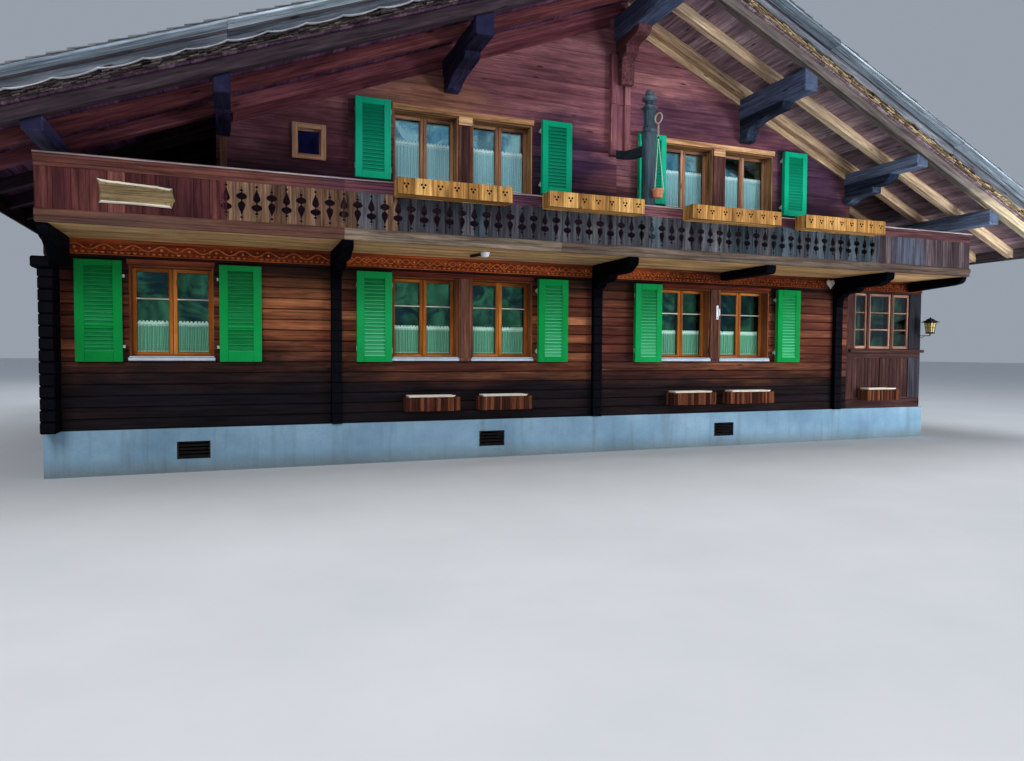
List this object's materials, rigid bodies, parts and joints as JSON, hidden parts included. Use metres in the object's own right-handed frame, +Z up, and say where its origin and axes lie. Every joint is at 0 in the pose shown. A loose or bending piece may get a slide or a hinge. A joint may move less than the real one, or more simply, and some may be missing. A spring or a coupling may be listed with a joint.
{
  "type": "alpine chalet",
  "caption": "Timber chalet with rendered plinth, log walls, full-width carved balcony, broad gable roof on purlins, green louvred shutters and flower boxes.",
  "frame": {"origin": "centre of the bounding box footprint, on the ground", "axes": "+Z up, -Y out of the balcony gable, +X to the right seen from the front"},
  "size_m": [17.41, 13.5, 7.77],
  "materials": {
    "plinth_render": "matt render",
    "log_ground": "weathered",
    "log_upper": "weathered",
    "dark_timber": "weathered",
    "floor_timber": "planed",
    "carved_timber": "satin",
    "rail_timber": "satin",
    "board_timber": "weathered",
    "purlin_timber": "weathered",
    "rafter_timber": "planed",
    "roof_board_timber": "weathered",
    "shingle": "weathered",
    "roof_shingle": "weathered",
    "verge_timber": "weathered",
    "window_timber": "satin",
    "glass": "clear",
    "shutter_ground": "painted",
    "shutter_upper": "painted",
    "iron": "satin",
    "box_gold": "satin",
    "box_dark": "weathered",
    "sign_timber": "planed",
    "planter": "matt"
  },
  "bodies": {
    "house": {"plinth": "plinth_render", "ground_floor": "floor_timber", "ground_wall_front": "log_ground", "ground_wall_rear": "log_ground", "ground_walls_side": "log_ground", "log_ends_front": "dark_timber", "log_ends_rear": "dark_timber", "frieze": "carved_timber", "veranda_frame": "window_timber", "upper_floor": "floor_timber", "upper_wall_front": "log_upper", "upper_wall_rear": "log_upper", "upper_walls_side": "log_upper", "gallery_walls": "log_upper", "balcony_floor": "floor_timber", "balcony_beams": "dark_timber", "balcony_rails": "rail_timber", "balcony_boards": "board_timber", "balcony_post": "dark_timber", "hanging_planter": "planter", "gable_trim": "log_upper", "purlins": "purlin_timber", "purlin_consoles": "dark_timber", "rafters_gable": "rafter_timber", "rafters_inner": "rafter_timber", "roof_boards": "roof_board_timber", "shingle_bed": "shingle", "roof_covering_left": "roof_shingle", "roof_covering_right": "roof_shingle", "ridge_cap": "roof_shingle", "barge_boards": "verge_timber", "eave_fascia": "verge_timber", "ground_window_frames": "window_timber", "upper_window_frames": "window_timber", "ground_glass": "glass", "upper_glass": "glass", "ground_shutters": "shutter_ground", "upper_shutters": "shutter_upper", "shutter_pins": "iron", "balcony_flower_boxes": "box_gold", "wall_flower_boxes": "box_dark", "sign_board": "sign_timber", "lantern": "iron"},
    "shutter_left": {"shutter_leaf_left": "shutter_ground"},
    "shutter_right": {"shutter_leaf_right": "shutter_ground"}
  },
  "joints": [
    {"name": "shutter_left_hinge", "type": "hinge", "parent": "house", "child": "shutter_left", "pos_m": [-6.935, -4.856, 1.5], "axis": [0, 0, 1], "range_deg": [0, 180]},
    {"name": "shutter_right_hinge", "type": "hinge", "parent": "house", "child": "shutter_right", "pos_m": [-5.795, -4.856, 1.5], "axis": [0, 0, -1], "range_deg": [0, 180]}
  ]
}
